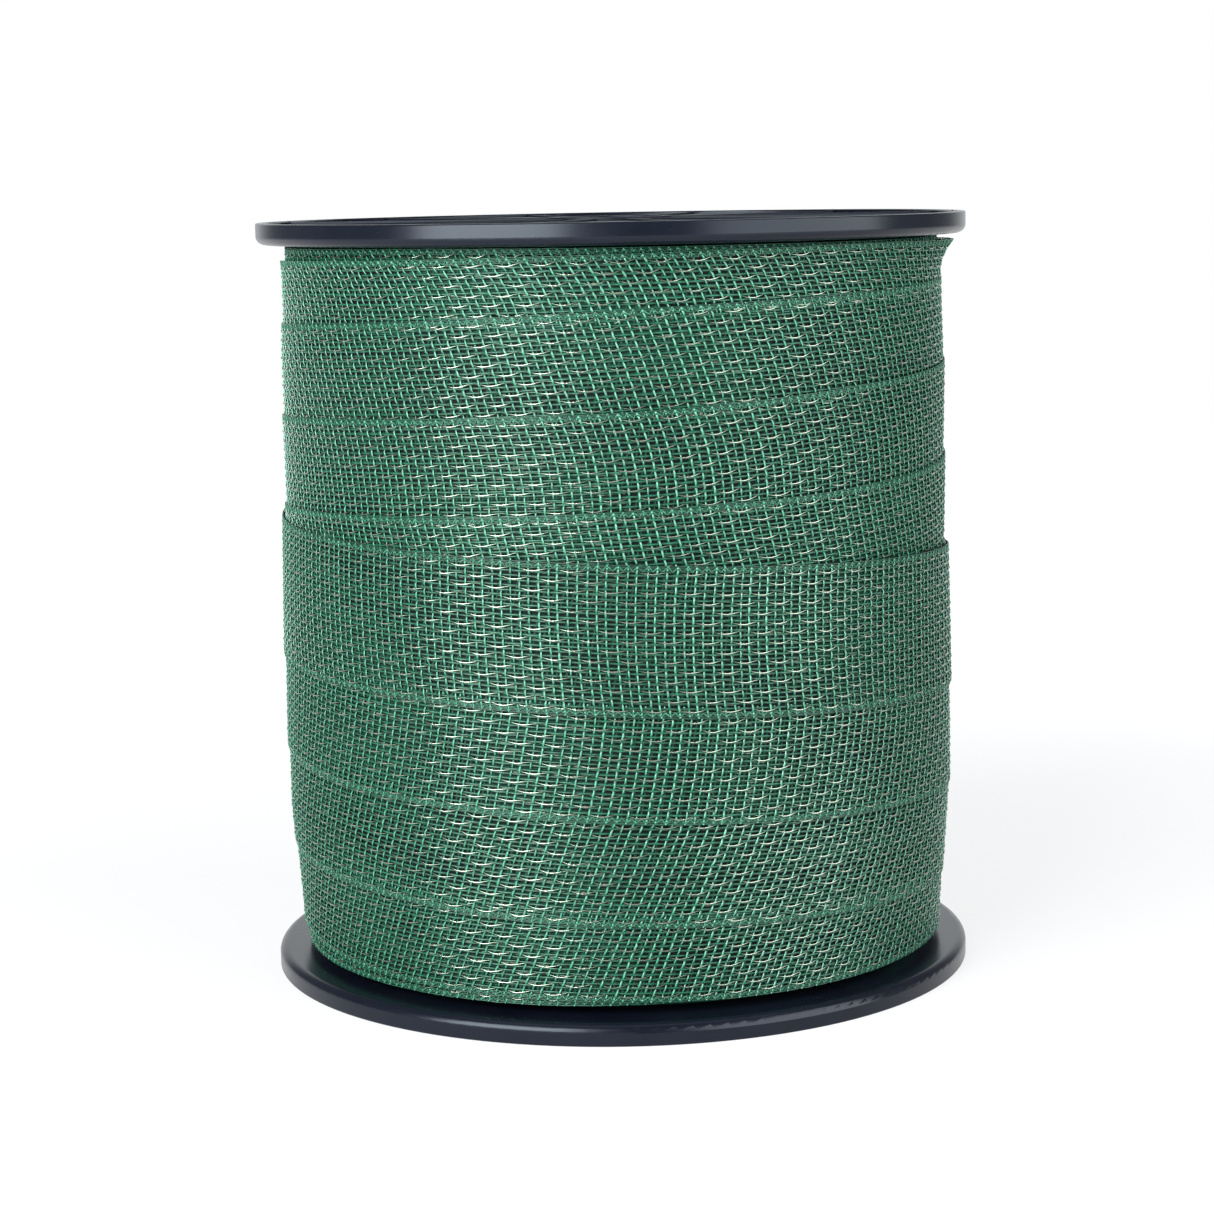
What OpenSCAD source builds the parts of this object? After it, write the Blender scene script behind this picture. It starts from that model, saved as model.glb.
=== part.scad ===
// Spool of woven fence tape: two moulded flanges snapped onto a barrel, with a
// 40 mm tape wound on it in sloping, overlapping turns. Millimetres, +Z up, the
// spool stands on its bottom flange with its axis on Z and the floor at z = 0.

/* [Spool] */
// Outer diameter of both flanges
flange_d = 202; // [180:1:240]
// Height of the whole spool, flange to flange
spool_h = 215; // [212:1:225]
// Diameter of the spindle bore through both hubs
bore_d = 30; // [20:1:40]
// Outer diameter of the barrel that the tape is wound on
barrel_d = 90; // [80:1:110]
// Wall of the barrel
barrel_wall = 2.5; // [2:0.1:4]

/* [Flange] */
// Height of a flange's rim
rim_h = 6; // [5:0.5:9]
// Wall of the rim
rim_wall = 2.6; // [2:0.1:4]
// Radius of the rim's outer corner, on the tape's side
rim_corner_r = 2.4; // [1:0.1:3]
// Radius of the rim's other edges
rim_edge_r = 0.5; // [0.3:0.1:0.9]
// How far the web between hub and rim lies below the rim's outer edge
recess = 1; // [0.8:0.1:1.4]
// Number of stiffening ribs on a flange's outer side
rib_count = 12; // [8:4:16]
// Thickness of a stiffening rib
rib_t = 1.6; // [1:0.1:2.5]
// How far the ribs stay below the rim's edge
rib_drop = 0.4; // [0.2:0.1:0.6]
// Wall of the hub round the bore
hub_wall = 3; // [2:0.5:5]
// Length of the hub along the spindle
hub_len = 22; // [12:1:40]
// Height of the collar that centres the barrel
collar_h = 8; // [5:1:15]
// Wall of the collar
collar_wall = 2; // [1.5:0.1:3]

/* [Snap hooks] */
// Number of snap hooks at each end of the barrel
hook_count = 4; // [3:1:6]
// Width of a snap hook
hook_w = 12; // [8:1:18]
// How far a hook's nose stands out over its ledge
hook_nose = 1.4; // [0.8:0.1:1.8]
// Thickness of the ledge that a hook catches on
ledge_t = 2.2; // [1.6:0.1:3]
// Room inside a hook for it to bend in as it is pushed through
bend_room = 1.4; // [1:0.1:2]
// Play round a hook and between barrel and collar
play = 0.2; // [0.1:0.05:0.4]

/* [Tape] */
// Width of the tape
tape_w = 40; // [38:0.5:42]
// Thickness of the tape
tape_t = 0.5; // [0.4:0.05:0.6]
// How far one edge of a turn leans out, over the turn before it
lean = 0.9; // [0.85:0.05:1.2]
// Gap between the inner turns and the outer ones
layer_gap = 0.2; // [0.15:0.05:0.3]
// Angle between the cross-sections of a turn
turn_step = 5; // [5:1:6]

/* [Anchor slot] */
// Height of the slot's lower end above the floor
slot_z = 20; // [12:1:60]
// Width of the slot
slot_w = 3; // [2:0.5:5]
// Length of tape folded back inside the barrel
anchor_len = 25; // [15:1:40]

/* [Hidden] */
$fn = 180;
flange_r = flange_d / 2;
bore_r = bore_d / 2;
barrel_r = barrel_d / 2;
barrel_in_r = barrel_r - barrel_wall;
web_t = rim_h - recess;
ledge_z = rim_h - ledge_t;           // depth of the pocket round a hook's nose
hub_r = bore_r + hub_wall;
collar_r = barrel_in_r - play;
barrel_z = rim_h;
barrel_len = spool_h - 2 * rim_h;
pack_gap = 2;                        // between the wound tape and each web
pack_low = rim_h + pack_gap;
pack_high = spool_h - rim_h - 0.6;   // the tape is crowded up to the top flange
pack_in_r = barrel_r + 0.1;
rows = 4;                            // strips across a turn's width
merge = 0.01;                        // overlap that fuses two solids of one moulding

// Heights of the tape's middle at the front of each turn, in winding order: the
// pass down from the top flange, then the last pass, up from the bottom flange.
down_fronts = [187.5, 173, 147, 121, 95];
up_fronts = [28.6, 50.5, 78.5, 107];
down_rise = -26;                     // rise per turn after a pass's last front
up_rise = 26;

// Radius that the inner face of each pass lies at, against height.
down_base = [[60, 93.9], [130, 93.9], [177, 93.6], [190, 92.9], [209, 92.4]];
up_base = [[8, 91.7], [20, 92.5], [32, 93.6], [48, 95], [70, 95.4], [100, 95.6]];
pass_split = 60;                     // below this the pack is as wide as the up pass

// The free end: the tape's middle and its lower edge's radius against winding
// angle. It rises clear of the turn below it, then dives under that turn's edge.
end_from = 150;
end_to = 205;
end_middle = [[150, 117.8], [160, 124], [170, 134], [178, 134], [190, 128], [205, 125]];
end_low_r = [[150, 96.5], [168, 96.5], [178, 95.15], [205, 95.15]];
end_high_r = [[150, 95.6], [205, 95.5]];

// ---- Mouldings ----

// A ring with its foot at z = 0
module ring(r_out, r_in, h) {
    difference() {
        cylinder(r = r_out, h = h);
        translate([0, 0, -1]) cylinder(r = r_in, h = h + 2);
    }
}

// Half section of the rim: a plain wall whose outer corner towards the tape is a
// quarter circle and whose other edges are small quarter circles
module rim_section() {
    x0 = flange_r - rim_wall;
    difference() {
        translate([x0, 0]) square([rim_wall, rim_h]);
        rounded_away(flange_r, rim_h, rim_corner_r, 1, 1);
        rounded_away(flange_r, 0, rim_edge_r, 1, -1);
        rounded_away(x0, 0, rim_edge_r, -1, -1);
    }
}

// What a quarter round of radius r takes off a square corner at (x, y), where sx
// and sy say which way the corner points
module rounded_away(x, y, r, sx, sy) {
    translate([x, y]) scale_signs(sx, sy) difference() {
        translate([-r, -r]) square(r + 1);
        translate([-r, -r]) circle(r = r, $fn = 48);
    }
}

module scale_signs(sx, sy) {
    mirror([sx < 0 ? 1 : 0, 0]) mirror([0, sy < 0 ? 1 : 0]) children();
}

// One flange as it lies at the bottom: shallow recess and ribs below, web above
module flange() {
    difference() {
        union() {
            rotate_extrude() rim_section();
            translate([0, 0, recess]) cylinder(r = flange_r - rim_wall + merge, h = web_t);
            cylinder(r = hub_r, h = hub_len);
            translate([0, 0, rim_h - merge]) ring(collar_r, collar_r - collar_wall, collar_h + merge);
            ribs();
        }
        translate([0, 0, -1]) cylinder(r = bore_r, h = hub_len + 2);
        for (i = [0:hook_count - 1]) rotate(hook_angle(i)) hook_window();
    }
}

// Straight ribs from the hub to the rim, one every 360 / rib_count degrees
module ribs() {
    for (i = [0:rib_count - 1])
        rotate((i + 0.5) * 360 / rib_count)
            translate([hub_r - 1, -rib_t / 2, rib_drop])
                cube([flange_r - rim_wall - hub_r + 1 + merge, rib_t, recess - rib_drop + merge]);
}

function hook_angle(i) = i * 360 / hook_count;

// Where a hook passes through the web, with room for it to bend in, and the pocket
// on the outer side that leaves a ledge for its nose
module hook_window() {
    side = hook_w / 2 + play;
    pocket_room = 1.5;               // round the nose and the arm
    pocket_side = side + pocket_room;
    in_r = barrel_in_r - bend_room;
    translate([in_r, -side, -1])
        cube([barrel_r + play - in_r, 2 * side, rim_h + 1 + merge]);
    translate([in_r, -pocket_side, -1])
        cube([barrel_r + hook_nose + pocket_room - in_r, 2 * pocket_side, 1 + ledge_z]);
}

module bottom_flange() {
    color([0.10, 0.11, 0.13]) flange();
}

module top_flange() {
    color([0.10, 0.11, 0.13]) translate([0, 0, spool_h]) mirror([0, 0, 1]) flange();
}

// A hook at the barrel's lower end: an arm through the web and a wedge-shaped
// nose that catches on the ledge
module hook() {
    arm_in = barrel_in_r + 0.3;      // the arm is a little thinner than the barrel's wall
    arm_out = barrel_r - 0.3;
    tip_z = 1.2;
    catch_z = ledge_z - 0.1;
    nose_t = 0.8;                    // straight part of the nose, before its wedge
    rotate([90, 0, 0]) translate([0, 0, -hook_w / 2]) linear_extrude(hook_w)
        polygon([[arm_in, rim_h + 1], [arm_in, tip_z], [arm_out, tip_z],
            [arm_out + hook_nose, catch_z - nose_t], [arm_out + hook_nose, catch_z],
            [arm_out, catch_z], [arm_out, rim_h + 1]]);
}

module hooks() {
    for (i = [0:hook_count - 1]) rotate(hook_angle(i)) hook();
}

// The barrel: a tube with hooks at both ends and a slot for the tape's inner end
module barrel() {
    color([0.13, 0.14, 0.16]) difference() {
        union() {
            translate([0, 0, barrel_z]) ring(barrel_r, barrel_in_r, barrel_len);
            hooks();
            translate([0, 0, spool_h]) mirror([0, 0, 1]) hooks();
        }
        translate([0, -slot_w / 2, slot_z]) cube([barrel_r + 1, slot_w, tape_w + 2]);
    }
}

// ---- Tape ----

// Radius of the inner turns' outer face at height z
function pack_r(z) = (z < pass_split ? lookup(z, up_base) : lookup(z, down_base)) - layer_gap;

// The inner turns as one solid: a ring whose outer face follows the passes' radii
module tape_pack() {
    heights = concat([pack_low, 20, 32, 48, pass_split - 2, pass_split],
        [130, 177, 190, pack_high]);
    outer = [for (z = heights) [z < pass_split ? pack_r(z) : lookup(z, down_base) - layer_gap, z]];
    color([0.16, 0.36, 0.27]) rotate_extrude()
        polygon(concat([[pack_in_r, pack_high], [pack_in_r, pack_low]], outer));
}

// The inner end: through the barrel's slot, then folded flat against its inside
module tape_inner_end() {
    fold_r = barrel_in_r - 1.5;
    color([0.20, 0.45, 0.34]) translate([0, 0, slot_z + 1]) {
        translate([fold_r, -tape_t / 2, 0]) cube([barrel_r - fold_r, tape_t, tape_w]);
        rotate_extrude(angle = anchor_len * 180 / (PI * fold_r))
            translate([fold_r - tape_t, 0]) square([tape_t + merge, tape_w]);
    }
}

// Height of the tape's middle at winding angle a, where fronts lists its heights at
// 0, 360, 720 and so on: straight between them, level before the first, and on at
// rise a turn after the last
function middle(fronts, a, rise) = let (n = len(fronts) - 1)
    a > 360 * n ? fronts[n] + rise * (a / 360 - n)
    : lookup(a / 360, [for (i = [0:n]) [i, fronts[i]]]);

// Points of one cross-section: up the inner face and down the outer one. The tape
// runs from zm - tape_w / 2 to zm + tape_w / 2, and radii holds the inner face's
// radius at each row. The winding angle turns clockwise from the front, seen from above.
function section(a, zm, radii) =
    let (z = [for (j = [0:rows]) zm + tape_w * (j / rows - 0.5)])
    concat(
        [for (j = [0:rows]) on_axis(a, radii[j], z[j])],
        [for (j = [rows:-1:0]) on_axis(a, radii[j] + tape_t, z[j])]);

function on_axis(a, r, z) = [-r * sin(a), -r * cos(a), z];

// Inner-face radii across a turn: the pass's own radius, plus the lean, which grows
// towards the upper edge on the way down and towards the lower edge on the way up
function leaning(base, zm, downward) = [for (j = [0:rows])
    lookup(zm + tape_w * (j / rows - 0.5), base) + lean * (downward ? j / rows : 1 - j / rows)];

// A closed strip through a list of sections
module strip(sections) {
    k = 2 * (rows + 1);
    n = len(sections) - 1;
    points = [for (s = sections, p = s) p];
    sides = [for (i = [0:n - 1], j = [0:k - 1], t = [0, 1])
        let (p = i * k + j, q = i * k + (j + 1) % k)
        t == 0 ? [p, q, q + k] : [p, q + k, p + k]];
    ends = [for (j = [0:rows - 1], t = [0, 1], e = [0, n])
        let (p = e * k + j, q = e * k + k - 1 - j,
            f = t == 0 ? [p, q, q - 1] : [p, q - 1, p + 1])
        e == 0 ? f : [f[2], f[1], f[0]]];
    polyhedron(points = points, faces = concat(sides, ends), convexity = 6);
}

// Turn number i of a pass, from the back round to the back again
module turn(fronts, base, rise, i, to = 180) {
    start = 360 * i - 180;
    steps = round((180 + to) / turn_step);
    strip([for (s = [0:steps])
        let (a = start + s * turn_step, zm = middle(fronts, a, rise))
        section(a, zm, leaning(base, zm, rise < 0))]);
}

module down_turn(i) {
    color([0.18, 0.42 + 0.03 * (i % 2), 0.31]) turn(down_fronts, down_base, down_rise, i);
}

module up_turn(i, to = 180) {
    color([0.18, 0.48 + 0.03 * (i % 2), 0.35]) turn(up_fronts, up_base, up_rise, i, to);
}

module tape_turn_1() { down_turn(0); }
module tape_turn_2() { down_turn(1); }
module tape_turn_3() { down_turn(2); }
module tape_turn_4() { down_turn(3); }
module tape_turn_5() { down_turn(4); }
module tape_turn_6() { up_turn(0); }
module tape_turn_7() { up_turn(1); }
module tape_turn_8() { up_turn(2); }
module tape_turn_9() { up_turn(3, end_from); }

// The free end, tucked under the edge of the turn below it
module tape_free_end() {
    steps = round((end_to - end_from) / turn_step);
    color([0.22, 0.55, 0.40]) strip([for (s = [0:steps])
        let (a = end_from + s * turn_step, low = lookup(a, end_low_r), high = lookup(a, end_high_r))
        section(a, lookup(a, end_middle), [for (j = [0:rows]) low + (high - low) * j / rows])]);
}

bottom_flange();
top_flange();
barrel();
tape_pack();
tape_inner_end();
tape_turn_1();
tape_turn_2();
tape_turn_3();
tape_turn_4();
tape_turn_5();
tape_turn_6();
tape_turn_7();
tape_turn_8();
tape_turn_9();
tape_free_end();
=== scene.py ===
import math

import bpy
import numpy as np
from mathutils import Matrix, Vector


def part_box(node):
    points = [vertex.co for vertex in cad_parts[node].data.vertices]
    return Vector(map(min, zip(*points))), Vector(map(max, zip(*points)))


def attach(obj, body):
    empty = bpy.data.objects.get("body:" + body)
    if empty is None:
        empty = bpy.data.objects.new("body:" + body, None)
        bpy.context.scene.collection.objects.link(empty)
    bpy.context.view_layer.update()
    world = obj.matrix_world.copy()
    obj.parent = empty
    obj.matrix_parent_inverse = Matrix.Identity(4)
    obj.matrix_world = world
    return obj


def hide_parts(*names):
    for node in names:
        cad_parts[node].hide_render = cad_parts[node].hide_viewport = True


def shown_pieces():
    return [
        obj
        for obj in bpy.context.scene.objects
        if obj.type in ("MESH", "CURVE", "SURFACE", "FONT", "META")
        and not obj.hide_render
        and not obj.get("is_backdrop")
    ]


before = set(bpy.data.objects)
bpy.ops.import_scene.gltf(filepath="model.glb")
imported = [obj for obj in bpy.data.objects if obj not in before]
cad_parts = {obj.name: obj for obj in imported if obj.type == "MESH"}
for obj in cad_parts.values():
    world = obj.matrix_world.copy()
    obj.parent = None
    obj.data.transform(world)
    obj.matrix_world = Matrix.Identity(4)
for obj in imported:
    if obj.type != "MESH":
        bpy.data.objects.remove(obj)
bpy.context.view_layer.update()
mm = 0.001

print("frame loaded:", len(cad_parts), "nodes")

view = {
    "distance": 838.0,  # mm from the spool's axis
    "height": 226.2,  # mm above the floor
    "pitch": 8.43,  # degrees, downwards
    "yaw": -0.20,
    "roll": -1.05,
    "lens": 86.06,
    "sensor": 36.0,
    "nearest": 0.05,  # metres, where the view starts and ends
    "farthest": 20,
}

studio = {
    "front": 0.06,  # brightness of the room behind the camera
    "side": 0.21,  # of the walls at the sides
    "back": 1.1,  # of the white sweep behind the spool
    "sideStarts": (-0.35, 0.1),  # where each takes over, as the Y of the direction
    "backStarts": (0.72, 0.93),
    "floorDark": (0.20, 0.20, 0.205, 1),
    "floorPale": (0.215, 0.215, 0.22, 1),
    "floorSize": 3.4,  # metres
    # the glow under the spool is lower there as a painted shadow
    "floorGlowInShadow": 0.75,  # the floor's glow under the spool
    "floorFar": 1.0,  # and away from it
    "floorFade": (0.15, 0.75),  # metres from the axis over which the one becomes the other
    "tint": (0.93, 0.98, 1.0),
    # name, azimuth from the front towards +X (degrees), distance, middle height, width and
    # height (metres), brightness
    "boxes": [
        ("leftBox", -37, 1.2, 0.62, 1.02, 1.06, 13.4),
        ("rightBox", 60, 1.2, 0.62, 1.40, 1.06, 5.2),
    ],
    "topBox": (1.25, 1.2, 0.9, 1.0),  # height above the floor, width, depth, brightness
}


def addCamera():
    # the camera stands in front on the -Y side, turned about Z by minus yaw, tipped down
    # by pitch, then rolled about its own line of sight
    data = bpy.data.cameras.new("camera")
    data.lens, data.sensor_width = view["lens"], view["sensor"]
    data.clip_start, data.clip_end = view["nearest"], view["farthest"]
    camera = bpy.data.objects.new("camera", data)
    turn = Matrix.Rotation(math.radians(-view["yaw"]), 4, "Z")
    tip = Matrix.Rotation(math.radians(90 - view["pitch"]), 4, "X")
    roll = Matrix.Rotation(math.radians(view["roll"]), 4, "Z")
    place = Matrix.Translation((0, -view["distance"] * mm, view["height"] * mm))
    camera.matrix_world = place @ turn @ tip @ roll
    bpy.context.scene.collection.objects.link(camera)
    bpy.context.scene.camera = camera


addCamera()


class Socket:
    # one output socket; arithmetic on it adds Math nodes to its tree
    def __init__(self, tree, socket):
        self.tree, self.socket = tree, socket

    def node(self, kind, settings=None, **sockets):
        # a node of a type: its settings first, then the values or links of its sockets,
        # which go by name, or as i and a number
        made = self.tree.nodes.new(kind)
        for key, value in (settings or {}).items():
            setattr(made, key, value)
        for key, value in sockets.items():
            name = key.replace("_", " ")
            target = made.inputs[int(name[1:])] if name[1:].isdigit() else made.inputs[name]
            if isinstance(value, Socket):
                self.tree.links.new(value.socket, target)
            else:
                target.default_value = value
        return made

    def out(self, made, name=0):
        return Socket(self.tree, made.outputs[name])

    def maths(self, operation, a, b=0.0):
        return self.out(self.node("ShaderNodeMath", {"operation": operation}, i0=a, i1=b))

    def __add__(self, b):
        return self.maths("ADD", self, b)

    def __radd__(self, b):
        return self.maths("ADD", b, self)

    def __sub__(self, b):
        return self.maths("SUBTRACT", self, b)

    def __rsub__(self, b):
        return self.maths("SUBTRACT", b, self)

    def __mul__(self, b):
        return self.maths("MULTIPLY", self, b)

    def __rmul__(self, b):
        return self.maths("MULTIPLY", b, self)

    def __truediv__(self, b):
        return self.maths("DIVIDE", self, b)

    def __rtruediv__(self, b):
        return self.maths("DIVIDE", b, self)

    def clamp(self):
        return self.out(self.node("ShaderNodeClamp", None, Value=self, Min=0.0, Max=1.0))

    def between(self, low, high):
        # 0 below low, 1 above high, smooth between them
        settings = {"interpolation_type": "SMOOTHSTEP"}
        made = self.node("ShaderNodeMapRange", settings, Value=self, From_Min=low, From_Max=high)
        return self.out(made)

    def axis(self, name):
        # one coordinate of a vector
        return self.out(self.node("ShaderNodeSeparateXYZ", None, Vector=self), name)

    def length(self):
        made = self.node("ShaderNodeVectorMath", {"operation": "LENGTH"}, i0=self)
        return self.out(made, "Value")

    def scaled(self, x, y, z):
        return self.out(self.node("ShaderNodeMapping", None, Vector=self, Scale=(x, y, z)))

    def noise(self, scale, detail=2.0, roughness=0.5):
        made = self.node("ShaderNodeTexNoise", None, Vector=self, Scale=scale, Detail=detail,
                         Roughness=roughness)
        return self.out(made, "Fac")

    def attribute(self, name):
        # a value that the mesh carries at its points
        return self.out(self.node("ShaderNodeAttribute", {"attribute_name": name}), "Fac")

    def bump(self, distance, strength=1.0):
        made = self.node("ShaderNodeBump", None, Height=self, Distance=distance, Strength=strength)
        return self.out(made, "Normal")


def mixColour(factor, a, b):
    # Mix in colour mode, whose factor and two colours are inputs 0, 6 and 7
    made = factor.node("ShaderNodeMix", {"data_type": "RGBA"}, i0=factor, i6=a, i7=b)
    return factor.out(made, 2)


def rgb(red, green, blue):
    # a display colour, 0 to 255, as linear light
    def lift(c):
        c /= 255
        return c / 12.92 if c <= 0.04045 else ((c + 0.055) / 1.055) ** 2.4
    return (lift(red), lift(green), lift(blue), 1.0)


def startMaterial(name):
    material = bpy.data.materials.new(name)
    material.use_nodes = True
    tree = material.node_tree
    tree.nodes.clear()
    output = tree.nodes.new("ShaderNodeOutputMaterial")
    shader = tree.nodes.new("ShaderNodeBsdfPrincipled")
    tree.links.new(shader.outputs[0], output.inputs[0])
    coordinates = tree.nodes.new("ShaderNodeTexCoord")
    here = Socket(tree, coordinates.outputs["Object"])
    return material, shader, here


def feed(shader, **sockets):
    for key, value in sockets.items():
        target = shader.inputs[key.replace("_", " ")]
        if isinstance(value, Socket):
            value.tree.links.new(value.socket, target)
        else:
            target.default_value = value


def buildPiece(name, points, quads, triangles, materials, slots=None, values=None, uv=None):
    # puts arrays of points (metres) and faces into a mesh, drops points that no face
    # uses, and writes point attributes and a UV map given per point
    used, corners = np.unique(np.concatenate([quads.ravel(), triangles.ravel()]),
                              return_inverse=True)
    points = points.reshape(-1, 3)[used]
    starts = np.concatenate([np.arange(len(quads)) * 4,
                             len(quads) * 4 + np.arange(len(triangles)) * 3])
    mesh = bpy.data.meshes.new(name)
    mesh.vertices.add(len(points))
    mesh.vertices.foreach_set("co", points.astype(np.float32).ravel())
    mesh.loops.add(len(corners))
    mesh.loops.foreach_set("vertex_index", corners.astype(np.int32))
    mesh.polygons.add(len(starts))
    mesh.polygons.foreach_set("loop_start", starts.astype(np.int32))
    mesh.update(calc_edges=True)
    mesh.validate()
    for key, value in (values or {}).items():
        layer = mesh.attributes.new(key, "FLOAT", "POINT")
        layer.data.foreach_set("value", value[used].astype(np.float32))
    if uv is not None:
        layer = mesh.uv_layers.new(name="weave")
        layer.data.foreach_set("uv", uv.reshape(-1, 2)[used][corners].astype(np.float32).ravel())
    for material in materials:
        mesh.materials.append(material)
    if slots is not None:
        mesh.polygons.foreach_set("material_index", slots.astype(np.int32))
    mesh.polygons.foreach_set("use_smooth", np.full(len(starts), True))
    piece = bpy.data.objects.new(name, mesh)
    bpy.context.scene.collection.objects.link(piece)
    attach(piece, "root")
    return piece


def threads(centre, normal, width, thick, shown):
    # threads of triangular section, one flat side outwards: centre and normal are
    # (thread, sample, 3), shown says which samples are kept. Returns the points, quads
    # along the threads, and the triangles that close each kept run's two ends.
    along = np.gradient(centre, axis=1)
    across = np.cross(along, normal)
    across /= np.linalg.norm(across, axis=2, keepdims=True)
    out = np.cross(across, along)
    out /= np.linalg.norm(out, axis=2, keepdims=True)
    width = np.broadcast_to(width, shown.shape)[..., None] * mm
    left = centre - across * width / 2 + out * thick * mm / 2
    right = centre + across * width / 2 + out * thick * mm / 2
    under = centre - out * thick * mm / 2
    points = np.stack([left, right, under], axis=2)
    index = np.arange(shown.size * 3).reshape(*shown.shape, 3)
    both = shown[:, :-1] & shown[:, 1:]
    quads = []
    for side in range(3):
        a, b = index[:, :, side], index[:, :, (side + 1) % 3]
        quads.append(np.stack([a[:, :-1], b[:, :-1], b[:, 1:], a[:, 1:]], axis=-1)[both])
    none = np.zeros((len(shown), 1), bool)
    opens = both & ~np.concatenate([none, both[:, :-1]], axis=1)
    closes = both & ~np.concatenate([both[:, 1:], none], axis=1)
    starts, ends = index[:, :-1][opens][:, ::-1], index[:, 1:][closes]
    return points, np.concatenate(quads), np.concatenate([starts, ends])


def perCorner(value, shown):
    # a value for each sample of a set of threads, given to the section's three corners
    return np.repeat(np.broadcast_to(value, shown.shape)[..., None], 3, axis=2).ravel()


def joined(parts):
    # several (points, quads, triangles) as one set
    points, quads, triangles, first = [], [], [], 0
    for p, q, t in parts:
        points.append(p.reshape(-1, 3))
        quads.append(q + first)
        triangles.append(t + first)
        first += p.size // 3
    return np.concatenate(points), np.concatenate(quads), np.concatenate(triangles)


def wander(x, seed, longest):
    # a slow, smooth wobble of about -1 to 1: four sine waves of falling size
    rng = np.random.default_rng(seed)
    total = 0
    for size, pace in ((0.55, 1.0), (0.35, 1.73), (0.22, 2.91), (0.12, 4.37)):
        start = rng.uniform(0, 6.28)
        total = total + size * np.sin(2 * np.pi * pace * np.asarray(x) / longest + start)
    return total


tape = {
    "width": 40.0,  # mm, as are all lengths here
    "weftPitch": 2.5,
    "weftWidth": 0.50,
    "weftThick": 0.34,
    "weftFlat": 0.27,  # half of a weft's flat stretch at a warp, as a share of the warps' gap
    "weftProud": (0.05, -0.04),  # every second weft stands proud of the others
    "warpWidth": 0.52,
    "warpThick": 0.30,
    "warpPitch": 1.285,
    "firstWarp": 2.64,
    "warps": 28,
    "selvedge": [0.22, 0.66, 1.10, 1.54],  # places of the close edge warps, from the edge
    "edgeWidth": 0.33,
    # the share of the painted crossing light that the edge warps keep, which leaves them darker
    "edgeLift": 0.4,  # how pale the edge warps are beside the others
    "wirePitch": 2.57,
    "firstWire": 2.0,
    "wires": 15,
    "wireWidth": 0.28,
    "wireSway": 0.45,  # how far a wire swings to each side
    "wireSwayAt": 0.555,  # where in its four wefts it swings, as a share
    "wireMiddle": 0.41,
    "wireCrimp": 0.24,
    "wireFlat": 1.7,  # how flat the crests of a wire are
    "middle": 0.27,  # height of the weave's middle over the turn's inner face
    "crimp": 0.12,  # how far weft and warp bend over and under
    "lean": 0.9,
    "hiddenMargin": 3.5,  # of a turn kept under the turn that covers it
    "leastKept": 14.0,  # of a turn's width modelled even where it is wholly covered
    "spare": 0.4,  # how far past the shown part a thread may start or end
}

# how far threads stray: wefts along the tape, warps across it, and samples of both
uneven = {
    "weft": 0.16,
    "warp": 0.07,
    "weftSample": 0.05,
    "warpSample": 0.04,
    "weftWidth": 0.10,  # share by which a weft's width varies
    # the share by proud is painted light: a weft standing out is paler
    "weftTone": (0.35, 0.35, 5),  # a weft's tone: the least, its range, and more a mm proud
    "wireSway": (0.85, 0.35, 190),  # share of the sway, its range, and longest wave (mm)
    "wireRipple": (0.08, 2.4, 9),  # size (mm), step from wire to wire, mm to a radian
}

# the zigzag over each edge, in mm
stitch = {
    "samples": 4,  # to a tooth
    "from": 0.28,  # nearest place to the edge
    "reach": 1.35,
    "rise": 0.2,  # over the weave's middle
    "width": 0.26,
    "thick": 0.2,
    "lift": 0.8,
}

# heights and inner radii of both passes, as in the CAD: the tape's middle at the front
# of each turn, how far it goes on before the first and after the last, and the radius of
# the inner face against height
down = {
    "fronts": [187.5, 173.0, 147.0, 121.0, 95.0],
    "before": 1.2,
    "after": -26.0,
    "base": [(60, 93.9), (130, 93.9), (177, 93.6), (190, 92.9), (209, 92.4)],
    "skew": [8, 14, 4, 13, 9],  # how far the wefts lean over the width, in mm, at each front
    "bow": [5, 0, 3, -1, 0],
    "seed": 11,
}
up = {
    "fronts": [28.6, 50.5, 78.5, 107.0],
    "before": 0.0,
    "after": 26.0,
    "base": [(8, 91.7), (20, 92.5), (32, 93.6), (48, 95.0), (70, 95.4), (100, 95.6)],
    "skew": [-17, -15, -7, 1],
    "bow": [0, 0, 1, -1],
    "seed": 23,
}
radius = 95.5  # mm, where lengths along the tape are measured
perTurn = 360.0
halfTurn = 180
lastFront = perTurn * (len(up["fronts"]) - 1)

# the free end, by the winding angle from the last turn's front: where it starts and
# stops, how it rises clear of the turn below and sinks again (mm), and where it dives
# under that turn's edge, over what angle, to what radius and with what lean
freeEnd = {
    "starts": 150.0,
    "stops": 205.0,
    "riseAt": [150, 160, 170, 178, 190, 205],
    "rise": [0, 5.4, 14.7, 14.1, 7.3, 3.2],
    "riseEased": (-6, -2, 2, 6),
    "diveAt": 168,
    "diveOver": 10,
    "diveRadius": 95.15,
    "diveLean": 0.35,
}

# the first turn's edge under the top flange: a curl at one angle from the front, in
# degrees, on a ripple that goes all the way round, both growing over a height (mm)
curl = {
    "at": 84,
    "spread": 17,
    "size": 3.4,
    "ripple": 0.7,
    "rippleSeed": 77,
    "ripplePitch": 130,
    "fromHeight": 198,
    "overHeight": 10,
}

# slow strays along a pass: size in mm and longest wave in degrees
stray = {"height": (0.7, 290), "skew": (1.6, 140), "bow": (0.5, 110)}
easing = (-80, -48, -16, 16, 48, 80)  # degrees over which a pass's course is averaged


def straightMiddle(winding, a):
    # height of the tape's middle at winding angle a (degrees): straight lines between
    # the fronts, and on at the same slope after the last
    fronts = winding["fronts"]
    knots = [perTurn * k for k in range(-1, len(fronts) + 2)]
    after = [fronts[-1] + winding["after"], fronts[-1] + 2 * winding["after"]]
    return np.interp(a, knots, [fronts[0] + winding["before"], *fronts, *after])


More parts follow.
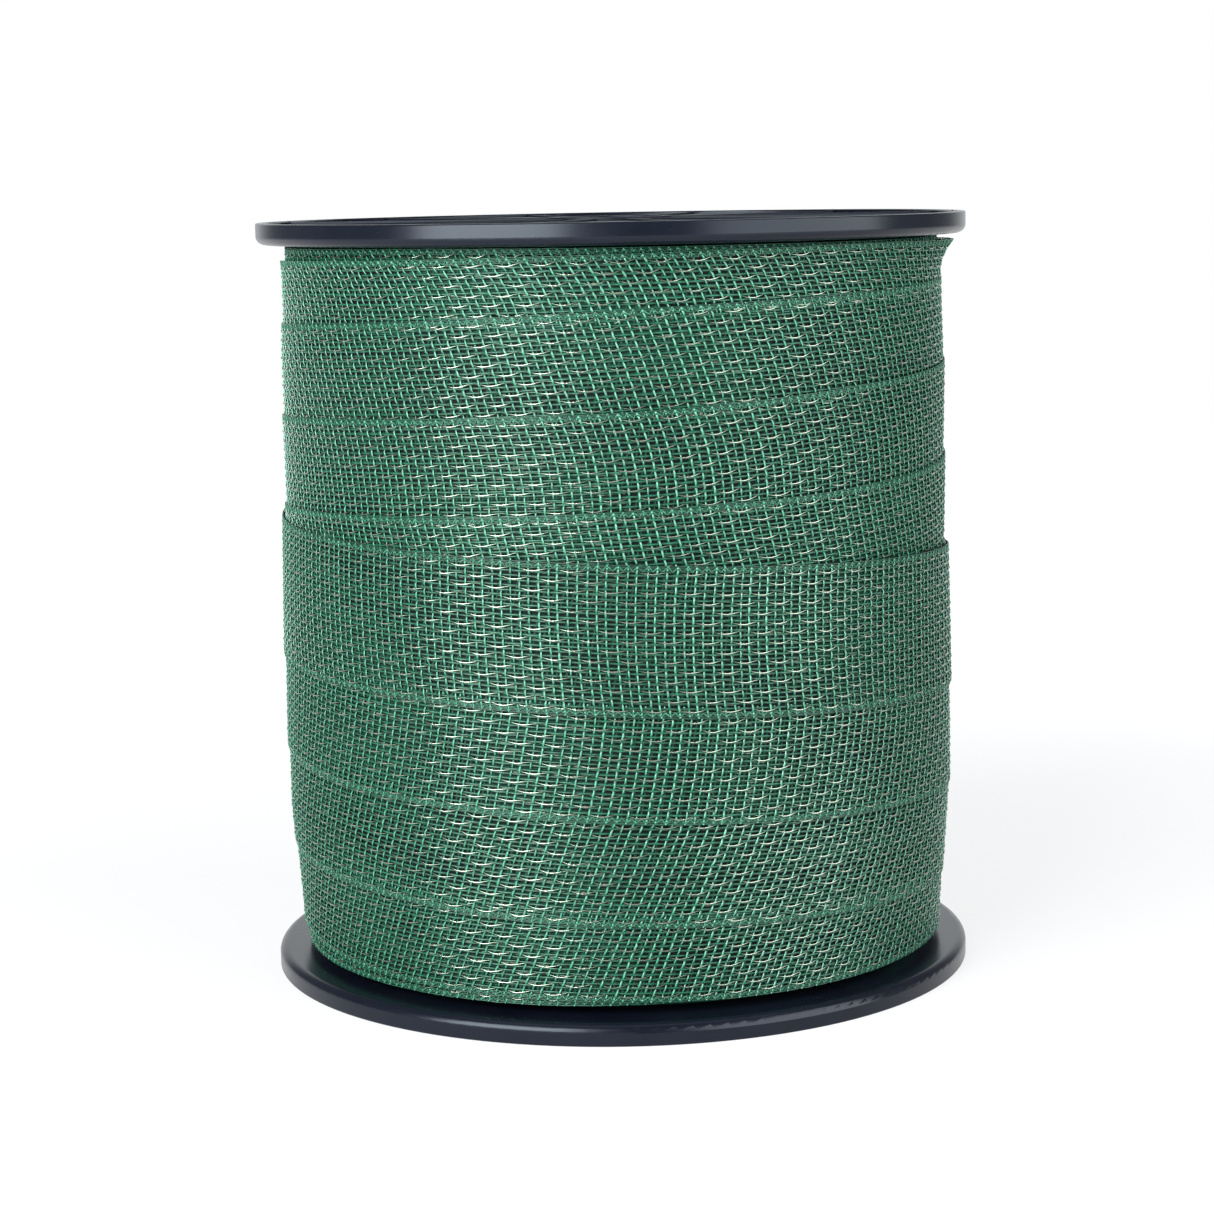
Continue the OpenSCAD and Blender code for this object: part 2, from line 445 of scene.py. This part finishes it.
def middleHeight(winding, a):
    # the straight course, averaged over 80 degrees each way, plus a slow wander
    eased = sum(straightMiddle(winding, a + d) for d in easing) / len(easing)
    size, longest = stray["height"]
    eased = eased + size * wander(a, winding["seed"], longest)
    if winding is up:
        for d in freeEnd["riseEased"]:
            risen = np.interp(a - lastFront + d, freeEnd["riseAt"], freeEnd["rise"])
            eased = eased + risen / len(freeEnd["riseEased"])
    return eased


def innerRadius(winding, z, v, a):
    # the pass's own radius at that height plus the lean, which lifts the upper edge on
    # the way down and the lower edge on the way up
    knots, radii = zip(*winding["base"])
    share = v / tape["width"]
    share = share if winding["after"] < 0 else 1 - share
    r = np.interp(z, knots, radii) + tape["lean"] * share
    if winding is up:
        dive = np.clip((a - lastFront - freeEnd["diveAt"]) / freeEnd["diveOver"], 0, 1)
        under = freeEnd["diveRadius"] + freeEnd["diveLean"] * v / tape["width"]
        r = r * (1 - dive) + dive * under
    else:
        ripple = curl["ripple"] * wander(a, curl["rippleSeed"], curl["ripplePitch"])
        bell = curl["size"] * np.exp(-(((-a - curl["at"]) / curl["spread"]) ** 2))
        near = np.clip((z - curl["fromHeight"]) / curl["overHeight"], 0, 1) ** 2
        r = r + np.where(np.abs(a) <= halfTurn, (bell + curl["ripple"] + ripple) * near, 0)
    # what comes before a pass's first turn belongs to the pack: over 20 degrees it goes
    # 1 mm deeper
    return r - np.clip((-halfTurn - a) / 20, 0, 1)


def place(winding, u, v, n):
    # a point of the tape from u mm along it, v mm across it and n mm outwards. The
    # weave is skewed and bowed, so u is shifted by skew * x + bow * (4 x^2 - 1/3), where
    # x runs from -1/2 to 1/2 over the width.
    a0 = np.degrees(u / radius)
    across = v / tape["width"] - 0.5
    knots = perTurn * np.arange(len(winding["skew"]))
    shift = {}
    for offset, key in ((1, "skew"), (2, "bow")):
        size, longest = stray[key]
        strays = size * wander(a0, winding["seed"] + offset, longest)
        shift[key] = np.interp(a0, knots, winding[key]) + strays
    moved = shift["skew"] * across + shift["bow"] * (4 * across**2 - 0.33)
    a = a0 + np.degrees(moved / radius)
    z = middleHeight(winding, a) + across * tape["width"]
    r = innerRadius(winding, z, v, a) + n
    turn = np.radians(a)
    out = np.stack([-np.sin(turn), -np.cos(turn), 0 * turn], axis=-1)
    return out * r[..., None] * mm + z[..., None] * np.array([0, 0, mm]), out


def topOfUpPass(theta):
    # the highest edge of the up pass at angle theta from the front
    outer = middleHeight(up, lastFront - theta)
    end = middleHeight(up, lastFront + perTurn - theta)
    both = np.where(perTurn - theta <= freeEnd["stops"], np.maximum(outer, end), outer)
    return both + tape["width"] / 2


def visibleSpan(winding, a):
    # (lowest, highest) v that is modelled at winding angle a: what shows, the hidden
    # margin, and never less than the least width kept
    low = middleHeight(winding, a) - tape["width"] / 2
    width, margin = tape["width"], tape["hiddenMargin"]
    if winding is down:
        nextTop = middleHeight(down, a + perTurn) + width / 2
        theta = (-a + halfTurn) % perTurn - halfTurn
        covered = np.maximum(nextTop, topOfUpPass(theta))
        hidden = np.minimum(covered - margin - low, width - tape["leastKept"])
        return np.clip(hidden, 0, width), np.full_like(low, width)
    nextLow = middleHeight(up, a + perTurn) - width / 2
    isLast = a + perTurn > lastFront + freeEnd["starts"]
    kept = np.clip(nextLow + margin - low, tape["leastKept"], width)
    return np.zeros_like(low), np.where(isLast, width, kept)


def lattice(winding, fromAngle, toAngle):
    # numbers of the wefts between two winding angles, with their places along the tape,
    # and one more: the next stretch's first. Numbers may run from -1000 to 2999.
    step = np.degrees(tape["weftPitch"] / radius)
    first, last = (math.ceil(angle / step - 1e-6) for angle in (fromAngle, toAngle))
    number = np.arange(first, last + 1)
    rng = np.random.default_rng(winding["seed"] + 5)
    jitter = rng.uniform(-uneven["weft"], uneven["weft"], 4000)[number + 1000]
    return number, number * tape["weftPitch"] + jitter


def warpPlaces(winding):
    edge = np.array(tape["selvedge"])
    inner = tape["firstWarp"] + tape["warpPitch"] * np.arange(tape["warps"])
    rng = np.random.default_rng(winding["seed"] + 6)
    inner = inner + rng.uniform(-uneven["warp"], uneven["warp"], len(inner))
    return np.concatenate([edge, inner, tape["width"] - edge[::-1]])


def weaveWefts(winding, number, u, v, sign, rng):
    # two samples at each crossing: a short flat stretch over or under the warp
    half = tape["weftFlat"] * np.gradient(v)
    samples = np.stack([v - half, v + half], axis=1).ravel()[None, :]
    over = np.repeat(sign, 2, axis=1)
    proud = np.where(number % 2 == 0, *tape["weftProud"])[:, None]
    strays = rng.normal(size=(len(u), samples.size))
    uu = u[:, None] + 0 * samples + uneven["weftSample"] * strays
    height = tape["middle"] + (over * tape["crimp"] + proud)
    centre, out = place(winding, uu, samples + 0 * uu, height)
    low, high = visibleSpan(winding, np.degrees(u / radius)[:, None])
    shown = (samples >= low) & (samples <= high + tape["spare"])
    shown[-1] = False  # the next stretch's first weft
    strays = rng.normal(size=(len(u), 1)).clip(-2, 2)
    width = tape["weftWidth"] * (1 + uneven["weftWidth"] * strays)
    least, spread, paintedLightByProud = uneven["weftTone"]
    # a proud weft gets a paler tone, painted light for standing out
    tone = least + paintedLightByProud * proud + spread * rng.uniform(0, 1, (len(u), 1))
    solid = threads(centre, out, width, tape["weftThick"], shown)
    return solid, perCorner(tone, shown), perCorner(0.5 + 0.5 * over, shown)


def weaveWarps(winding, u, v, sign, rng):
    # one sample at each weft, up where the weft is down
    vv = v[:, None] + 0 * u + uneven["warpSample"] * rng.normal(size=(len(v), len(u)))
    height = tape["middle"] - sign.T * tape["crimp"]
    centre, out = place(winding, u + 0 * vv, vv, height)
    low, high = visibleSpan(winding, np.degrees(u / radius))
    shown = (vv >= low) & (vv <= high + tape["spare"])
    edge = len(tape["selvedge"])
    width = np.full((len(v), 1), tape["warpWidth"])
    # lift drives the painted light and shade of the warp's crossings
    lift = 0.5 - 0.5 * sign.T
    for rows in (slice(None, edge), slice(-edge, None)):
        width[rows] = tape["edgeWidth"]
        lift[rows] *= tape["edgeLift"]
    tone = rng.uniform(0, 1, (len(v), 1))
    solid = threads(centre, out, width, tape["warpThick"], shown)
    return solid, perCorner(tone, shown), perCorner(lift, shown)


def weaveStitch(winding, u, edge, inwards, rng):
    # a zigzag over the selvedge, one tooth to each weft
    teeth = np.arange(stitch["samples"] * (len(u) - 1) + 1) / stitch["samples"]
    us = np.interp(teeth, np.arange(len(u)), u)[None, :]
    swing = 1 - np.abs(2 * (teeth % 1) - 1)
    v = edge + inwards * (stitch["from"] + stitch["reach"] * swing)[None, :]
    low, high = visibleSpan(winding, np.degrees(us / radius))
    centre, out = place(winding, us, v, tape["middle"] + stitch["rise"])
    shown = (v >= low) & (v <= high + tape["spare"])
    solid = threads(centre, out, stitch["width"], stitch["thick"], shown)
    tone = rng.uniform(0, 1, shown.size * 3)
    return solid, tone, perCorner(stitch["lift"], shown)


def weave(winding, fromAngle, toAngle):
    # wefts, warps and both edges' stitches of a stretch of tape as one mesh. Weft and
    # warp pass over and under in turn: at crossing (j, i) the weft is up by
    # crimp * (-1)^(i + j), the warp down. Material slots: weft 0, warp 1, stitch 2.
    number, u = lattice(winding, fromAngle, toAngle)
    v = warpPlaces(winding)
    sign = np.where((number[:, None] + np.arange(len(v))) % 2 == 0, 1.0, -1.0)
    rng = np.random.default_rng(winding["seed"] + 7 + abs(int(fromAngle)))
    made = [weaveWefts(winding, number, u, v, sign, rng), weaveWarps(winding, u, v, sign, rng)]
    for edge, inwards in ((0.0, 1), (tape["width"], -1)):
        made.append(weaveStitch(winding, u, edge, inwards, rng))
    solids, tones, lifts = zip(*made)
    slots = [np.full(len(solid[faces]), slot)
             for faces in (1, 2) for solid, slot in zip(solids, (0, 1, 2, 2))]
    values = {"tone": np.concatenate(tones), "lift": np.concatenate(lifts)}
    return *joined(solids), np.concatenate(slots), values


def wires(winding, fromAngle, toAngle):
    # steel wires: each floats over two wefts and runs under two, swinging sideways once
    # in four wefts, with neighbours two wefts apart
    number, u = lattice(winding, fromAngle, toAngle)
    steps = np.arange(2 * len(number) - 1) / 2
    us = np.interp(steps, np.arange(len(u)), u)
    wire = np.arange(tape["wires"])[:, None]
    # phase 0 is the middle of the float: the height is a cosine flattened by tanh, and
    # the sway a cosine whose crest lies at the first of the two wefts it runs under
    phase = (0.5 - (number[0] + steps) + 2 * (wire % 2)) / 4
    height = np.tanh(tape["wireFlat"] * np.cos(2 * np.pi * phase)) / np.tanh(tape["wireFlat"])
    least, spread, longest = uneven["wireSway"]
    sway = tape["wireSway"] * (least + spread * wander(us, winding["seed"] + 9, longest))
    v = tape["firstWire"] + tape["wirePitch"] * wire
    v = v + sway * np.cos(2 * np.pi * (phase + tape["wireSwayAt"]))
    size, step, pace = uneven["wireRipple"]
    v = v + size * np.sin(wire * step + us / pace)
    low, high = visibleSpan(winding, np.degrees(us / radius))
    rise = tape["wireMiddle"] + tape["wireCrimp"] * height
    centre, out = place(winding, us + 0 * v, v, rise)
    shown = (v >= low) & (v <= high)
    solid = threads(centre, out, tape["wireWidth"], tape["wireWidth"], shown)
    return *solid, {"lift": perCorner(0.5 + 0.5 * height, shown)}


# the threads' looks. The colour goes from dark to pale by the mix base + byTone * tone +
# the lift weight * lift + byGrain * (grain - 1/2), where tone is the thread's own, lift is 1 where
# it rides over the others, and grain is a noise of the given scale, detail and roughness.
# The lift term is painted light and shade: paler where a thread rides over, darker where it
# dips under.
# The roughness is rough + roughByGrain * grain + roughByLift * lift.
threadLooks = {
    # smooth mint monofilament, with a painted highlight where it rides over a warp and painted
    # shade where it dips under one
    "weftMonofilament": {
        "dark": rgb(12, 66, 50),
        "pale": rgb(68, 152, 120),
        "grain": (900.0, 2.0, 0.5),
        "base": 0.05,
        "byTone": 0.45,
        "shadeByLift": 0.4,
        "byGrain": 0.5,
        "rough": 0.20,
        "roughByGrain": 0.10,
        "roughByLift": 0.0,
        "specular": 1.0,
        "relief": None,
    },
    # duller, darker green yarn with fine fibres, which stand up by the relief (metres)
    "warpYarn": {
        "dark": rgb(4, 38, 28),
        "pale": rgb(36, 110, 82),
        "grain": (2200.0, 3.0, 0.7),
        "base": 0.0,
        "byTone": 0.25,
        # painted shade where the warp dips under a weft, painted light where it rides over
        "shadeByLift": 0.5,
        "byGrain": 0.7,
        "rough": 0.38,
        "roughByGrain": 0.14,
        "roughByLift": -0.18,
        "specular": 0.75,
        "relief": 0.00003,
    },
    # the edge's stitching, in patches from dark to mint
    "edgeStitch": {
        "dark": rgb(4, 38, 28),
        "pale": rgb(70, 146, 112),
        "grain": (1400.0, 2.0, 0.5),
        "base": 0.15,
        "byTone": 0.7,
        "shadeByLift": 0.0,
        "byGrain": 0.9,
        "rough": 0.38,
        "roughByGrain": 0.1,
        "roughByLift": 0.0,
        "specular": 0.5,
        "relief": None,
    },
}


def threadMaterial(name):
    look = threadLooks[name]
    material, shader, here = startMaterial(name)
    tone, lift = here.attribute("tone"), here.attribute("lift")
    grain = here.noise(*look["grain"])
    # the lift term paints shade on the dips and light on the crests
    mix = look["base"] + tone * look["byTone"] + lift * look["shadeByLift"]
    mix = (mix + (grain - 0.5) * look["byGrain"]).clamp()
    colour = mixColour(mix, look["dark"], look["pale"])
    roughness = look["rough"] + grain * look["roughByGrain"] + lift * look["roughByLift"]
    feed(shader, Base_Color=colour, Roughness=roughness, Specular_IOR_Level=look["specular"])
    if look["relief"]:
        feed(shader, Normal=grain.bump(look["relief"], 0.4))
    return material


# bright drawn steel, duller where it dips between the yarns and there darker and greener in
# painted shade, like the yarn around it; on its floats a painted glint. It glints by base +
# the lift weight * lift^2 + byDull * (dull - 1/2), and a glint is smoother
wireLook = {
    # the dips' painted shade, tinted green like the yarn around the wire
    "dark": rgb(26, 84, 60),
    "pale": rgb(208, 215, 196),
    "dull": (260.0, 3.0),
    "base": 0.12,
    "shadeByLift": 0.83,
    "byDull": 0.8,
    "rough": 0.34,
    "smoother": 0.14,
}


def wireMaterial():
    material, shader, here = startMaterial("steelWire")
    dull, lift = here.noise(*wireLook["dull"]), here.attribute("lift")
    # the lift^2 term is a painted glint on the floats and painted shade in the dips
    glint = wireLook["base"] + lift * lift * wireLook["shadeByLift"]
    glint = (glint + (dull - 0.5) * wireLook["byDull"]).clamp()
    colour = mixColour(glint, wireLook["dark"], wireLook["pale"])
    roughness = wireLook["rough"] - glint * wireLook["smoother"]
    feed(shader, Base_Color=colour, Roughness=roughness, Metallic=1.0)
    return material


def ruled(x, pitch, width):
    # 1 on a line of that width every pitch, fading at its sides
    off = x.maths("ABSOLUTE", x.maths("FRACT", x / pitch) - 0.5) * pitch
    return 1 - off.between(width * 0.3, width * 0.62)


def underTapeMaterial():
    # the turns below, seen through the weave's holes, in painted shade: near black, with the
    # next layer's wefts and warps as dark green lines at the weave's own pitch, darker in patches
    # by a noise, and a painted glint of wire
    material, shader, here = startMaterial("tapeBelowInShade")
    flat = here.out(here.node("ShaderNodeUVMap", {"uv_map": "weave"}), "UV")
    drift = here.noise(14.0)
    along = flat.axis("X") + drift * 6.0 + flat.axis("Y") * 0.2
    across = flat.axis("Y") + drift * 3.5
    weft = ruled(along, tape["weftPitch"], tape["weftWidth"])
    warp = ruled(across, tape["warpPitch"], tape["warpWidth"])
    glint = here.noise(330.0, 1.0).between(0.52, 0.62)
    wire = ruled(across + 0.65, tape["wirePitch"], tape["wireWidth"]) * glint
    mottle = here.noise(600.0)
    # painted shade: near black between the lower threads, and those threads darkened too
    colour = mixColour(warp * 0.75, rgb(2, 9, 9), rgb(22, 62, 46))
    colour = mixColour(weft * 0.7, colour, rgb(40, 90, 68))
    colour = mixColour((mottle - 0.35).clamp() * 0.8, colour, rgb(6, 20, 16))
    # a painted glint along the wires
    colour = mixColour(wire * 0.6, colour, rgb(150, 158, 140))
    height = weft.maths("MAXIMUM", weft * 0.6, warp)
    feed(shader, Base_Color=colour, Roughness=0.7, Normal=height.bump(0.0003),
         Specular_IOR_Level=0.15)
    return material


mats = {
    "weft": threadMaterial("weftMonofilament"),
    "warp": threadMaterial("warpYarn"),
    "stitch": threadMaterial("edgeStitch"),
    "wire": wireMaterial(),
    "below": underTapeMaterial(),
}

# the surface under the outer turns: its grid, the radius it never goes below, how far it
# lies under the threads, the strip left off at each edge of a turn, how far it follows
# the free end (degrees), and the gap to the barrel (mm)
pack = {
    "columns": 360,
    "rows": 204,
    "leastRadius": 90.0,
    "under": 0.10,
    "edge": 0.4,
    "pastEnd": 10,
    "barrelGap": 0.1,
}


def addPack():
    # at each angle and height the inner face of whichever turn lies outermost there, a
    # hair below its threads, closed on the inside along the barrel
    low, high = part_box("tape_pack")
    columns, rows = pack["columns"], pack["rows"]
    theta = np.linspace(-halfTurn, halfTurn, columns, endpoint=False)[None, :]
    z = np.linspace(low[2] / mm, high[2] / mm, rows)[:, None]
    r = np.full((rows, columns), pack["leastRadius"])
    along, across = np.zeros_like(r), np.zeros_like(r)
    passes = [(down, k) for k in range(-1, 5)] + [(up, k) for k in range(-1, 4)]
    for winding, k in passes:
        a = -theta + perTurn * k
        v = z - (middleHeight(winding, a) - tape["width"] / 2)
        inside = (v > pack["edge"]) & (v < tape["width"] - pack["edge"])
        inside &= a >= perTurn * k - halfTurn
        if winding is up and k == 3:
            inside &= a <= lastFront + freeEnd["starts"] + pack["pastEnd"]
        face = innerRadius(winding, z + 0 * a, v, a) - pack["under"]
        better = inside & (face > r)
        r = np.where(better, face, r)
        along = np.where(better, np.radians(a) * radius, along)
        across = np.where(better, v, across)
    core = np.full((1, columns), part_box("barrel")[1][0] / mm + pack["barrelGap"])
    r = np.concatenate([core, r, core])
    z = np.concatenate([z[:1], z, z[-1:]])
    ring = np.radians(theta)
    points = np.stack([np.sin(ring) * r, -np.cos(ring) * r, z + 0 * r], axis=-1) * mm
    uv = np.pad(np.stack([along, across], axis=-1), ((1, 1), (0, 0), (0, 0)))
    index = np.arange(r.size).reshape(r.shape)
    right = np.roll(index, -1, axis=1)
    quads = [index, right, np.roll(right, -1, axis=0), np.roll(index, -1, axis=0)]
    quads = np.stack(quads, axis=-1).reshape(-1, 4)
    none = np.zeros((0, 3), int)
    piece = buildPiece("tape_pack_below", points, quads, none, [mats["below"]], uv=uv)
    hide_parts("tape_pack")
    return piece


def flatCut(winding, fromAngle, toAngle):
    # the cut of a stretch of tape, in metres: its width, the length in which some of its
    # width is modelled, and the flat area of what is modelled
    number, u = lattice(winding, fromAngle, toAngle)
    low, high = visibleSpan(winding, np.degrees(u[:-1] / radius))
    span = np.clip(np.minimum(high, tape["width"]) - low, 0, None)
    length = np.count_nonzero(span > 0) * tape["weftPitch"]
    return tape["width"] * mm, length * mm, span.sum() * tape["weftPitch"] * mm * mm


def addStretch(name, winding, fromAngle, toAngle):
    # a stretch of tape as two pieces: its woven threads and its wires
    points, quads, triangles, slots, values = weave(winding, fromAngle, toAngle)
    threadMats = [mats["weft"], mats["warp"], mats["stitch"]]
    cloth = buildPiece(name + "_weave", points, quads, triangles, threadMats, slots, values)
    points, quads, triangles, values = wires(winding, fromAngle, toAngle)
    steel = buildPiece(name + "_wires", points, quads, triangles, [mats["wire"]], None, values)
    width, length, area = flatCut(winding, fromAngle, toAngle)
    print(name, "faces", len(cloth.data.polygons), len(steel.data.polygons),
          "cut", round(length, 3), "share", round(area / (width * length), 3))
    return cloth


def addTurn(node, winding, fromAngle, toAngle):
    cloth = addStretch(node, winding, fromAngle, toAngle)
    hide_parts(node)
    return cloth


def addTape():
    # the pack, the turns of both passes from -180 to 180 degrees about their fronts, the
    # free end, and the turn before each pass, which shows at the flanges
    below = [addPack()]
    for i in range(5):
        start = perTurn * i - halfTurn
        addTurn(f"tape_turn_{i + 1}", down, start, start + perTurn)
    for i in range(3):
        start = perTurn * i - halfTurn
        addTurn(f"tape_turn_{i + 6}", up, start, start + perTurn)
    starts, stops = lastFront + freeEnd["starts"], lastFront + freeEnd["stops"]
    outer = addTurn("tape_turn_9", up, lastFront - halfTurn, starts)
    addTurn("tape_free_end", up, starts, stops)
    for name, winding in (("tape_pack_top", down), ("tape_pack_bottom", up)):
        addStretch(name, winding, -perTurn - halfTurn, -halfTurn)


addTape()
print("tape wound")

# colours and roughness of the two kinds of moulding
flangeLook = {"dark": rgb(8, 10, 19), "pale": rgb(20, 24, 36), "rough": 0.21}
barrelLook = {"dark": rgb(14, 16, 20), "pale": rgb(28, 30, 34), "rough": 0.42}

# the top flange's satin web, in metres
satin = {
    "fromEdge": (0.006, 0.003),  # it fades out between these distances from the edge
    "fromTop": (0.004, 0.003),  # and fades in between these depths under the top
    "rougher": 0.24,
}


def mouldedMaterial(name, look):
    # black moulded plastic: faint mottling, a fine grain and scratches round the rim
    material, shader, here = startMaterial(name)
    mottle, grain = here.noise(60.0, 4.0), here.noise(1800.0)
    worn = here.scaled(1.0, 1.0, 14.0).noise(90.0, 6.0, 0.75).between(0.62, 0.72)
    colour = mixColour((mottle * 0.6 + worn * 0.4).clamp(), look["dark"], look["pale"])
    # the web is what lies inside the rim at the very top of the spool
    reach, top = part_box("top_flange")[1][0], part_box("top_flange")[1][2]
    outside = here.scaled(1.0, 1.0, 0.0).length().between(*[reach - d for d in satin["fromEdge"]])
    web = (1 - outside) * here.axis("Z").between(*[top - d for d in satin["fromTop"]])
    roughness = look["rough"] + mottle * 0.08 + worn * 0.15 + web * satin["rougher"]
    height = grain * 0.4 - worn * 0.6
    feed(shader, Base_Color=colour, Roughness=roughness, Normal=height.bump(0.000004, 0.3),
         Specular_Tint=(0.86, 0.93, 1.0, 1.0), Specular_IOR_Level=0.27)
    return material


def paintNode(node, material):
    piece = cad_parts[node]
    for held in piece.material_slots:
        held.link = "OBJECT"
        held.material = material


flangePlastic = mouldedMaterial("flangePlastic", flangeLook)
for node in ("bottom_flange", "top_flange"):
    paintNode(node, flangePlastic)
paintNode("barrel", mouldedMaterial("barrelPlastic", barrelLook))
paintNode("tape_inner_end", mats["warp"])
print("mouldings painted")


def addFloor():
    # a pale floor that glows, so that only a faint shadow shows, and glows a little less near
    # the spool as a painted shadow
    half = studio["floorSize"] / 2
    corners = [(-half, -half, 0), (half, -half, 0), (half, half, 0), (-half, half, 0)]
    mesh = bpy.data.meshes.new("floor")
    mesh.from_pydata(corners, [], [(0, 1, 2, 3)])
    floor = bpy.data.objects.new("floor", mesh)
    bpy.context.scene.collection.objects.link(floor)
    material, shader, here = startMaterial("paleFloor")
    tint = mixColour(here.noise(3.0), studio["floorDark"], studio["floorPale"])
    near, far = studio["floorGlowInShadow"], studio["floorFar"]
    away = here.length().between(*studio["floorFade"])
    # a painted shadow: the glow is lower near the spool
    glow = mixColour(away, (near, near, near, 1), (far, far, far, 1))
    feed(shader, Base_Color=tint, Roughness=0.8, Emission_Color=glow, Emission_Strength=1.0,
         Specular_IOR_Level=0.0)
    mesh.materials.append(material)
    floor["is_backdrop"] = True


def addWorld():
    # a dim room in front, paler side walls and a white sweep at the back; seen directly,
    # the surroundings are plain white
    world = bpy.data.worlds.new("studio")
    world.use_nodes = True
    tree = world.node_tree
    sky = tree.nodes["Background"]
    direction = Socket(tree, tree.nodes.new("ShaderNodeTexCoord").outputs["Generated"])
    backwards = direction.axis("Y")
    seen = Socket(tree, tree.nodes.new("ShaderNodeLightPath").outputs["Is Camera Ray"])
    front, side, back = studio["front"], studio["side"], studio["back"]
    glow = backwards.between(*studio["sideStarts"]) * (side - front) + front
    glow = glow + backwards.between(*studio["backStarts"]) * (back - side)
    strength = glow + seen * (1.0 - glow)
    tree.links.new(mixColour(seen, (*studio["tint"], 1), (1, 1, 1, 1)).socket, sky.inputs[0])
    tree.links.new(strength.socket, sky.inputs[1])
    bpy.context.scene.world = world


def addLamp(name, spot, size, brightness, turn):
    # an area lamp's power is its brightness times pi times its area
    data = bpy.data.lights.new(name, "AREA")
    data.shape, data.size, data.size_y = "RECTANGLE", size[0], size[1]
    data.energy = brightness * math.pi * size[0] * size[1]
    data.color = studio["tint"]
    lamp = bpy.data.objects.new(name, data)
    lamp.matrix_world = Matrix.Translation(spot) @ turn
    bpy.context.scene.collection.objects.link(lamp)


def addLights():
    for name, azimuth, distance, height, width, tall, brightness in studio["boxes"]:
        angle = math.radians(azimuth)
        spot = (distance * math.sin(angle), -distance * math.cos(angle), height)
        # upright, facing the spool's axis
        turn = Matrix.Rotation(angle, 4, "Z") @ Matrix.Rotation(math.radians(90), 4, "X")
        addLamp(name, spot, (width, tall), brightness, turn)
    high, width, deep, brightness = studio["topBox"]
    addLamp("topBox", (0, 0, high), (width, deep), brightness, Matrix.Identity(4))
    bpy.context.scene.view_settings.view_transform = "Standard"


addWorld()
addFloor()
addLights()
print("studio lit")

total = sum(len(p.data.loops) - 2 * len(p.data.polygons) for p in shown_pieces())
print("triangles in all:", total)
